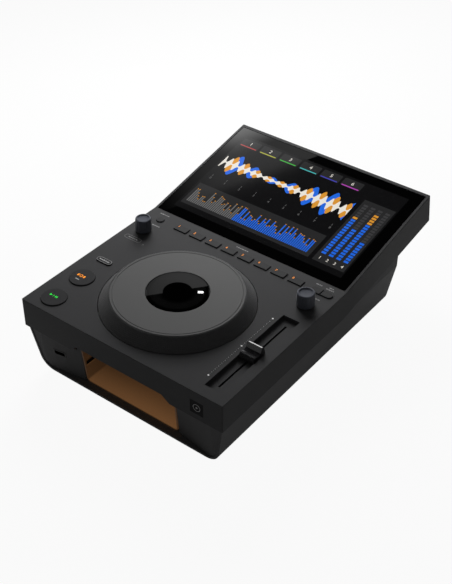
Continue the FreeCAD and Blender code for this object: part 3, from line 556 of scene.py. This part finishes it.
class PLAYER_OT_stage(bpy.types.Operator):
    """Make the floor, the lamps, the light card and the camera"""
    bl_idname = "player.stage"
    bl_label = "Studio"

    def execute(self, context):
        scene = context.scene
        scene.view_settings.view_transform = "Standard"
        self.make_floor(scene)
        self.make_world(scene)
        self.make_card(scene)
        self.make_lamp(scene, "key_lamp", KEY_LAMP, 0.45, 9.6)
        self.make_lamp(scene, "front_lamp", FRONT_LAMP, 1.1, 0.4)
        self.make_camera(scene)
        return {"FINISHED"}

    def make_floor(self, scene):
        """Flat square with rings of quads, so that it is one closed surface to the eye."""
        side = np.linspace(-6.0, 6.0, 13)
        x, y = np.meshgrid(side, side, indexing="ij")
        points = np.stack([x, y, np.zeros_like(x)], -1).reshape(-1, 3)
        i, j = np.meshgrid(np.arange(12), np.arange(12), indexing="ij")
        quads = np.stack([i * 13 + j, (i + 1) * 13 + j, (i + 1) * 13 + j + 1, i * 13 + j + 1], -1)
        mesh = bpy.data.meshes.new("studio_floor")
        mesh.from_pydata(points.tolist(), [], quads.reshape(-1, 4).tolist())
        shop = Shop("floor_white", Roughness=0.9, Specular_IOR_Level=0.0)
        shop.shader.inputs["Base Color"].default_value = (0.42, 0.42, 0.42, 1.0)
        path = shop.node("LightPath").socket.node.outputs
        mirrored = Value(shop, path["Is Glossy Ray"]) + Value(shop, path["Is Transmission Ray"])
        seen = Value(shop, path["Is Camera Ray"]) * 0.94 + mirrored * 0.3
        white = shop.node("Emission", {}, {"Color": (1.0, 1.0, 1.0, 1.0)})
        diffuse = Value(shop, shop.shader.outputs[0])
        mixed = shop.node("MixShader", {}, {0: seen.clamped(), 1: diffuse, 2: white})
        output = shop.tree.nodes["Material Output"]
        shop.tree.links.new(mixed.socket, output.inputs[0])
        mesh.materials.append(shop.material)
        floor = bpy.data.objects.new("studio_floor", mesh)
        scene.collection.objects.link(floor)

    def make_world(self, scene):
        """White for the camera, and for gloss near the horizon; soft grey light from above."""
        world = bpy.data.worlds.new("studio_world")
        world.use_nodes = True
        scene.world = world
        shop = Shop.__new__(Shop)
        shop.tree = world.node_tree
        path = shop.node("LightPath").socket.node.outputs
        direction = shop.node("TexCoord", output=0)
        up = Value(shop, shop.node("SeparateXYZ", inputs={0: direction}).socket.node.outputs[2])
        seen = Value(shop, path["Is Camera Ray"])
        gloss = (Value(shop, path["Is Glossy Ray"]) + Value(shop, path["Is Transmission Ray"])).clamped()
        horizon = 1.0 - up.between(0.05, 0.35)
        strength = seen + (1.0 - seen) * (gloss * (horizon * 0.9) + (1.0 - gloss) * 0.12)
        background = shop.tree.nodes["Background"]
        background.inputs[0].default_value = (1.0, 1.0, 1.0, 1.0)
        shop.tree.links.new(strength.socket, background.inputs[1])

    def make_card(self, scene):
        """Light card behind and to the left, which the glass mirrors: its straight edge
        runs from start to end. Its light fades along the edge and grows away from it."""
        start = Vector((-0.273, 0.4633, 0.5534))
        end = Vector((-0.398, 0.3303, 0.5674))
        along = (end - start).normalized()
        out = Vector((-0.492, 0.5375, 0.685)).normalized()
        across = along.cross(out).normalized()
        low = start - along * 0.35
        corners = [low, low + along * 0.75, low + along * 0.75 + across * 0.42, low + across * 0.42]
        mesh = bpy.data.meshes.new("light_card")
        mesh.from_pydata([tuple(c) for c in corners], [], [(0, 1, 2, 3)])
        shop = Shop("card_light")
        down, aside = [shop.node("VectorMath", {"operation": "DOT_PRODUCT"},
                                 {0: shop.place(), 1: tuple(axis)}, output=1) - float(start.dot(axis))
                       for axis in (along, across)]
        even = (1.0 - down.between(0.13, 0.29)) * 0.5
        strength = even + aside.between(0.045, 0.09) * (1.0 - down.between(0.11, 0.17)) * 2.4
        glow = shop.node("Emission", {}, {"Strength": strength})
        shop.tree.links.new(glow.socket, shop.tree.nodes["Material Output"].inputs[0])
        mesh.materials.append(shop.material)
        card = bpy.data.objects.new("light_card", mesh)
        scene.collection.objects.link(card)
        card.visible_camera = False
        card.visible_shadow = False

    def make_lamp(self, scene, name, spot, size, power):
        """Square area lamp that looks at the player and isn't mirrored."""
        lamp = bpy.data.lights.new(name, "AREA")
        lamp.size = size
        lamp.energy = power
        holder = bpy.data.objects.new(name, lamp)
        holder.location = spot
        holder.rotation_mode = "QUATERNION"
        holder.rotation_quaternion = (Vector((0, 0, 0.06)) - Vector(spot)).to_track_quat("-Z", "Y")
        holder.visible_glossy = False
        scene.collection.objects.link(holder)

    def make_camera(self, scene):
        """Camera solved from the casing's straight edges: yaw, pitch and roll about its place."""
        data = bpy.data.cameras.new("camera")
        data.lens = scene.player_sizes.lens
        data.sensor_width = 36.0
        data.clip_start = 0.05
        camera = bpy.data.objects.new("camera", data)
        right = Vector((0.79667291, 0.60436911, 0.00708867))
        up = Vector((-0.37923253, 0.49069916, 0.78447245))
        ahead = Vector((-0.47063251, 0.62765621, -0.62012316))
        turn = Matrix((right, up, -ahead)).transposed()
        camera.matrix_world = Matrix.Translation((0.54224, -0.74060, 0.76823)) @ turn.to_4x4()
        scene.collection.objects.link(camera)
        scene.camera = camera


class PLAYER_OT_finishes(bpy.types.Operator):
    """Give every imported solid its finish"""
    bl_idname = "player.finishes"
    bl_label = "Finishes"

    def execute(self, context):
        colours = context.scene.player_colours
        keys = moulded("keys_satin", colours.keys, 0.45)
        tub = moulded("tub_fine_grain", colours.tub, 0.55, 0.00004)
        black = moulded("black_moulding", (0.09, 0.09, 0.09), 0.42)
        steel = metal("steel_drawn", (0.62, 0.62, 0.63))
        nickel = metal("nickel_plate", (0.55, 0.54, 0.52), 0.28)
        give(moulded("casing_fine_grain", colours.casing), "upper_chassis")
        give(tub, "lower_chassis", "front_panel_left", "front_panel_right", "screen_back_cover")
        give(keys, "play_button", "cue_button", "pill_button", "small_round_button",
             "split_button_left", "split_button_right", *["hot_cue_button_%d" % k for k in range(1, 9)])
        give(black_glass(), "screen_glass")
        give(moulded("touch_tile_black", (0.030, 0.030, 0.032), 0.45, 0.000004, 0.05), "touch_mark")
        give(metal("panel_back_zinc", (0.50, 0.51, 0.50), 0.4), "screen_panel", "screen_bracket",
             "fader_body", "jog_base_plate")
        give(bay_plastic(colours.bay_glow), "bay_liner")
        give(diffuser(), "bay_light_bar")
        give(nickel, "bay_usb_port", "coax_jacks", "network_jack")
        give(metal("socket_dark_nickel", (0.20, 0.20, 0.20), 0.45), "front_usb_port", "front_usb_c_port")
        give(moulded("rear_sheet_black", (0.115, 0.115, 0.117), 0.38, 0.00005, 0.45, 1500.0), "rear_panel")
        give(black, "power_inlet", "power_switch_frame", "power_button", "jog_post", "encoder_sensor",
             "fader_lever", "knob_encoders")
        give(wheel_top(colours.wheel), "jog_top_plate")
        give(moulded("wheel_inside", colours.rim, 0.55), "jog_rim", "jog_hub")
        give(wheel_lens(), "jog_lens", "jog_display")
        give(steel, "bearing_inner_race", "bearing_outer_race", "bearing_balls", "encoder_disc",
             "casing_screws", "left_knob_shaft", "right_knob_shaft", "right_knob_plunger")
        give(rubber("knob_core", colours.knob), "left_knob", "right_knob")
        give(moulded("fader_satin", (0.130, 0.130, 0.135), 0.28, 0.00002, 0.45), "fader_cap")
        give(circuit_board(), "key_board", "main_board", "power_supply")
        give(rubber("foot_rubber", (0.07, 0.07, 0.07), 0.8), "feet")
        return {"FINISHED"}


class PLAYER_OT_wheel(bpy.types.Operator):
    """Turn the wheel's rim with its fine bumps and put the marker on the lens"""
    bl_idname = "player.wheel"
    bl_label = "Wheel"

    def execute(self, context):
        sizes, colours = context.scene.player_sizes, context.scene.player_colours
        self.make_rim(sizes, colours.rim)
        marker = Print()
        turn = math.radians(34.0)
        loop = rounded_loop(0.0, 0.0, 5.6, 3.4, 0.8)
        spun = loop @ np.array([[math.cos(turn), math.sin(turn)], [-math.sin(turn), math.cos(turn)]])
        marker.slab(spun + np.array([22.6 * math.cos(turn), WHEEL_Y + 22.6 * math.sin(turn)]), WHITE)
        top = (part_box("jog_lens")[1].z - DECK) / MM
        marker.piece("wheel_marker", lambda x, y, z: deck_place(x, y, z + top),
                     inks("marker_white_lit", 0.75), "casing", "light_diffuser")
        return {"FINISHED"}

    def make_rim(self, sizes, colour):
        """Rim profile turned round the axis. On the slope the surface sinks by
        depth * (1 - cos(count * turn)) / 2 * (1 - cos(rows * 2 pi * share)) / 2 along its normal."""
        count, rows = sizes.knurl_count, sizes.knurl_rows
        per = 4
        profile = [(78.5, -4.0), (78.5, 0.2), (68.3, 11.9), (67.4, 12.2), (67.4, 10.9), (34.0, 10.9),
                   (34.0, 8.4), (65.5, 8.4), (75.5, -2.5), (75.5, -4.0), (78.5, -4.0)]
        cuts = [3, rows * per, 2, 1, 1, 1, 1, 1, 1, 1]
        line = divided(profile, cuts) * MM
        turn = np.linspace(0, 2 * math.pi, count * per, endpoint=False)[:, None]
        share = np.zeros(len(line))
        slope = slice(cuts[0], cuts[0] + cuts[1])
        share[slope] = np.arange(cuts[1]) / cuts[1]
        pits = (0.5 - 0.5 * np.cos(count * turn)) * (0.5 - 0.5 * np.cos(2 * math.pi * rows * share))
        sink = pits * sizes.knurl_depth
        lean = math.atan2(78.5 - 68.3, 11.9 - 0.2)
        radius = line[:, 0] - sink * math.cos(lean)
        height = DECK + line[:, 1] - sink * math.sin(lean)
        points = turned_points(radius, height, np.broadcast_to(turn, radius.shape), WHEEL)
        faces = wrapped_faces(len(turn), len(line))[:, ::-1]
        piece = finished("wheel_rim_bumpy", points.reshape(-1, 3), faces.tolist(),
                         rubber("rim_soft_black", colour, 0.6), "jog_wheel", ("jog_rim",))
        crisp(piece)


def crisp(piece, angle=40.0):
    """Sharpen edges that turn by more than the angle."""
    piece.data.set_sharp_from_angle(angle=math.radians(angle))


class PLAYER_OT_knobs(bpy.types.Operator):
    """Turn the two fluted rubber knobs with dished tops"""
    bl_idname = "player.knobs"
    bl_label = "Knobs"

    def execute(self, context):
        material = rubber("knob_blue_grey_rubber", context.scene.player_colours.knob)
        for side, top, low in (("left", 8.5, 9.0), ("right", 9.2, 9.5)):
            self.make_knob(context.scene.player_sizes, side + "_knob", top, low, material)
        return {"FINISHED"}

    def make_knob(self, sizes, node, top, low, material):
        """Knob profile turned round its axis. The side sinks by depth * cos(flutes * turn / 2)^8,
        faded in and out over the flutes' length."""
        box_low, box_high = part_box(node)
        centre = (box_low + box_high) / 2
        base, tall = (box_low.z - DECK) / MM, (box_high.z - DECK) / MM
        profile = [(3.1, base), (low - 0.4, base), (low, base + 0.5), (low, base + 1.4),
                   (top, tall - 1.5), (top - 0.35, tall - 0.45), (top - 1.2, tall), (top - 1.9, tall),
                   (top - 2.5, tall - 0.9), (top - 3.4, tall - 1.15), (3.0, tall - 1.35), (0.5, tall - 1.4)]
        cuts = [1, 1, 1, 14, 3, 2, 2, 2, 2, 3, 2]
        line = np.vstack([(3.1, 12.0), divided(profile, cuts), profile[-1]]) * MM
        first = sum(cuts[:2]) + 1
        share = np.zeros(len(line))
        fluted = slice(first, first + cuts[2] + cuts[3] + cuts[4])
        share[fluted] = np.linspace(0, 1, cuts[2] + cuts[3] + cuts[4])
        fade = np.clip(share / 0.12, 0, 1) * np.clip((1 - share) / 0.16, 0, 1)
        turn = np.linspace(0, 2 * math.pi, sizes.flutes * 16, endpoint=False)[:, None]
        sink = sizes.flute_depth * np.cos(sizes.flutes * turn / 2) ** 8 * fade
        radius = line[:, 0] - sink
        points = turned_points(radius, DECK + line[:, 1], np.broadcast_to(turn, radius.shape), centre)
        poles = [(centre.x, centre.y, DECK + 12.0 * MM), (centre.x, centre.y, DECK + (tall - 1.4) * MM)]
        piece = finished(node + "_fluted", np.vstack([points.reshape(-1, 3), poles]),
                         capped_faces(len(turn), len(line)), material, node, (node,))
        crisp(piece, 50.0)


class PLAYER_OT_fader(bpy.types.Operator):
    """Put the white line on the fader's cap"""
    bl_idname = "player.fader"
    bl_label = "Fader line"

    def execute(self, context):
        low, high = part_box("fader_cap")
        line = Print(0.04)
        middle = (low.x + high.x) / 2 / MM
        line.rounded(middle, (high.y - FRONT) / MM - 4.2, (high.x - low.x) / MM - 1.6, 1.1, 0.3, WHITE)
        top = (high.z - DECK) / MM - 0.02
        line.piece("fader_line", lambda x, y, z: deck_place(x, y, z + top),
                   inks("line_white_paint", 0.0), "fader", "fader_plastic")
        return {"FINISHED"}


class PLAYER_OT_deck_marks(bpy.types.Operator):
    """Print the fader's dotted scale and the small plain marks on the deck"""
    bl_idname = "player.deck_marks"
    bl_label = "Deck marks"

    def execute(self, context):
        grey = (0.62, 0.62, 0.62)
        marks = Print(context.scene.player_sizes.print_height / MM)
        for step in range(-20, 21):
            strong = step in (-20, 0, 20)
            radius = 0.85 if strong else (0.38 if step % 2 == 0 else 0.22)
            marks.dot(89.5, 76.1 + step * 2.54, radius, WHITE if strong else grey, sides=12)
        marks.rounded(-105.4, 145.2, 21.6, 6.6, 3.2, (0.45, 0.45, 0.45), width=0.4)
        for x, y, wide in ((-105.4, 145.2, 12.0), (-106.3, 199.7, 13.0), (-101.0, 177.8, 11.0),
                           (-1.6, 200.4, 15.0), (95.9, 199.2, 7.0), (109.4, 201.0, 5.0),
                           (109.4, 198.0, 9.0), (108.0, 177.8, 6.0)):
            dashes(marks, x, y, wide, 1.3, (0.5, 0.5, 0.5))
        marks.dot(-89.2, 142.6, 0.45, grey, sides=10)
        marks.piece("deck_print", deck_place, inks("deck_print_grey", 0.0), "casing", "casing_plastic")
        return {"FINISHED"}


def dashes(target, x, v, wide, high, ink, level=0.0, seed=3):
    """Row of short plain bars in the place of a word."""
    rng = np.random.default_rng(seed + int(abs(x) * 7 + abs(v)))
    edge = x - wide / 2
    while edge < x + wide / 2 - 0.8:
        run = float(rng.uniform(1.2, 3.2))
        run = min(run, x + wide / 2 - edge)
        target.rect(edge + run / 2, v, run, high, ink, level)
        edge += run + 0.7


class PLAYER_OT_key_marks(bpy.types.Operator):
    """Print the lit marks on the keys, each riding on its key"""
    bl_idname = "player.key_marks"
    bl_label = "Key marks"

    def execute(self, context):
        lit = inks("key_marks_lit", 0.55)
        paint = inks("key_marks_paint", 0.0)
        for number in range(1, 9):
            low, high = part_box("hot_cue_button_%d" % number)
            mark = Print()
            mark.number(str(number), low.x / MM + 3.1, (high.y - FRONT) / MM - 4.9, 3.2, ORANGE)
            self.on_key(mark, "hot_cue_mark_%d" % number, high, lit, "hot_cue_%d" % number)
        self.play_mark(lit)
        self.cue_mark(lit)
        self.pill_mark(paint)
        return {"FINISHED"}

    def on_key(self, mark, name, top, material, body):
        rise = (top.z - DECK) / MM
        mark.piece(name, lambda x, y, z: deck_place(x, y, z + rise), material, body, "key_plastic")

    def play_mark(self, lit):
        """Triangle and two bars."""
        low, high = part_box("play_button")
        x, y = (low.x + high.x) / 2 / MM - 1.6, ((low.y + high.y) / 2 - FRONT) / MM + 1.0
        mark = Print()
        mark.slab([(x - 4.6, y - 1.4), (x - 1.6, y), (x - 4.6, y + 1.4)], GREEN)
        mark.rect(x, y, 0.6, 2.5, GREEN)
        mark.rect(x + 2.8, y, 1.0, 2.5, GREEN)
        mark.rect(x + 4.6, y, 1.0, 2.5, GREEN)
        self.on_key(mark, "play_mark", high, lit, "play")

    def cue_mark(self, lit):
        """Ring with a dot between two bars, over a short grey bar."""
        low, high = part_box("cue_button")
        x, y = (low.x + high.x) / 2 / MM - 2.0, ((low.y + high.y) / 2 - FRONT) / MM + 1.0
        mark = Print()
        mark.ring(x, y, 1.9, 0.7, ORANGE)
        for side in (-1, 1):
            mark.rect(x + side * 3.9, y, 1.9, 3.2, ORANGE)
        mark.rect(x, y - 6.2, 4.6, 1.2, (0.5, 0.5, 0.5))
        self.on_key(mark, "cue_mark", high, lit, "cue")

    def pill_mark(self, paint):
        low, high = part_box("pill_button")
        x, y = (low.x + high.x) / 2 / MM, ((low.y + high.y) / 2 - FRONT) / MM
        wide, deep = (high.x - low.x) / MM - 2.4, (high.y - low.y) / MM - 2.4
        mark = Print()
        mark.rounded(x, y, wide, deep, deep / 2 - 0.02, (0.55, 0.55, 0.55), width=0.45)
        dashes(mark, x, y, wide - 6.0, 1.6, (0.6, 0.6, 0.6))
        self.on_key(mark, "pill_mark", high, paint, "pill_key")


class PLAYER_OT_screen(bpy.types.Operator):
    """Draw a plain wave display on the screen: waves, a ruler, numbered pads and level bars"""
    bl_idname = "player.screen"
    bl_label = "Screen picture"

    BLUE = (0.13, 0.42, 0.90)
    GOLD = (0.88, 0.60, 0.20)
    PALE = (0.95, 0.93, 0.89)
    PANEL = (0.165, 0.165, 0.168)
    FAINT = (0.42, 0.42, 0.42)
    LEFT = -109.5
    RIGHT = 108.5
    COLUMN = 66.0

    def execute(self, context):
        art = Print(0.012)
        middle = (self.LEFT + self.RIGHT) / 2
        art.rect(middle, 82.0, self.RIGHT - self.LEFT, 136.0, (0.058, 0.058, 0.062))
        self.pads(art)
        self.near_wave(art)
        self.whole_wave(art)
        self.levels(art)
        art.piece("screen_picture", screen_place, inks("screen_pixels_lit", 0.8, 0.15, 0.1),
                  "casing", "screen_glass")
        return {"FINISHED"}

    def pads(self, art):
        """Row of six numbered pads along the top, in evenly spaced colours."""
        count, first, step = 6, -95.0, 27.6
        for k in range(count):
            x = first + k * step
            ink = colorsys.hsv_to_rgb(k / count, 0.62, 0.72)
            art.rounded(x, 140.0, step - 3.0, 13.0, 1.6, self.PANEL, 0.015)
            art.rect(x, 134.8, step - 6.0, 1.4, ink, 0.03)
            art.number(str(k + 1), x - 1.6, 138.6, 5.0, self.PALE, 0.03)

    def near_wave(self, art):
        """Wide wave: round swells |sin|^3 in three colours, under a slow rise and fall."""
        x = np.arange(self.LEFT + 3.0, self.COLUMN - 3.0, 0.4)
        slow = 0.62 + 0.38 * np.sin(x / 23.0)
        for ink, reach, stretch, level in ((self.BLUE, 19.0, 8.1, 0.03), (self.GOLD, 14.5, 5.4, 0.045),
                                           (self.PALE, 9.0, 2.7, 0.06)):
            half = 0.9 + reach * slow * np.abs(np.sin(x / stretch)) ** 3
            art.strip(x, 101.0 - half, 101.0 + half, ink, level)
        for k in range(9):
            spot = self.LEFT + 8.0 + k * 20.0
            art.rect(spot, 75.2, 0.5, 2.6, self.FAINT, 0.03)
            art.number(str(k), spot - 1.0, 69.0, 3.4, self.FAINT, 0.03)

    def whole_wave(self, art):
        """Narrow wave of plain upright bars along the bottom, the played part dimmer."""
        rng = np.random.default_rng(5)
        middle = (self.LEFT + self.COLUMN) / 2
        art.rect(middle, 40.0, self.COLUMN - self.LEFT - 6.0, 36.0, self.PANEL, 0.015)
        for x in np.arange(self.LEFT + 8.0, self.COLUMN - 8.0, 2.4):
            tall = float(rng.uniform(6.0, 24.0))
            art.rect(x, 27.0 + tall / 2, 1.5, tall, self.BLUE if x > -40.0 else self.FAINT, 0.03)
            art.rect(x, 27.0 + tall + 1.0, 1.5, 0.9, self.GOLD, 0.03)

    def levels(self, art):
        """Right column: four level bars, each with its number under it."""
        middle = (self.COLUMN + self.RIGHT) / 2
        art.rect(middle, 74.0, self.RIGHT - self.COLUMN - 4.0, 104.0, self.PANEL, 0.015)
        for k, filled in enumerate((15, 11, 18, 8)):
            x = self.COLUMN + 8.0 + k * 9.0
            for cell in range(20):
                ink = (self.BLUE if cell < 14 else self.GOLD) if cell < filled else (0.24, 0.24, 0.245)
                art.rect(x, 36.0 + cell * 4.3, 5.2, 3.0, ink, 0.03)
            art.number(str(k + 1), x - 1.2, 26.0, 4.2, self.PALE, 0.03)


class PLAYER_OT_front_marks(bpy.types.Operator):
    """Print a plain ring and dot on the reader's tile"""
    bl_idname = "player.front_marks"
    bl_label = "Front marks"

    def execute(self, context):
        tile = Print(0.03)
        x, z = TILE_MIDDLE
        tile.ring(x, z, 4.2, 0.6, (0.62, 0.62, 0.62), -0.05)
        tile.dot(x, z, 1.1, (0.62, 0.62, 0.62), -0.05)
        tile.piece("touch_sign", fascia_place, inks("sign_grey_paint", 0.0), "casing", "touch_mark_film")
        return {"FINISHED"}


STEPS = ("stage", "finishes", "wheel", "knobs", "fader", "deck_marks", "key_marks", "screen", "front_marks")


class PLAYER_PT_panel(bpy.types.Panel):
    """Buttons for each group of pieces"""
    bl_label = "Media player"
    bl_idname = "PLAYER_PT_panel"
    bl_space_type = "VIEW_3D"
    bl_region_type = "UI"
    bl_category = "Player"

    def draw(self, context):
        for step in STEPS:
            self.layout.operator("player." + step)
        for group in (context.scene.player_sizes, context.scene.player_colours):
            for key in group.__annotations__:
                self.layout.prop(group, key)


CLASSES = (PlayerSizes, PlayerColours, PLAYER_OT_stage, PLAYER_OT_finishes, PLAYER_OT_wheel,
           PLAYER_OT_knobs, PLAYER_OT_fader, PLAYER_OT_deck_marks, PLAYER_OT_key_marks,
           PLAYER_OT_screen, PLAYER_OT_front_marks, PLAYER_PT_panel)


def register():
    for kind in CLASSES:
        bpy.utils.register_class(kind)
    bpy.types.Scene.player_sizes = PointerProperty(type=PlayerSizes)
    bpy.types.Scene.player_colours = PointerProperty(type=PlayerColours)


def unregister():
    del bpy.types.Scene.player_sizes
    del bpy.types.Scene.player_colours
    for kind in reversed(CLASSES):
        bpy.utils.unregister_class(kind)


def main():
    register()
    for step in STEPS:
        getattr(bpy.ops.player, step)()


if __name__ == "__main__":
    main()
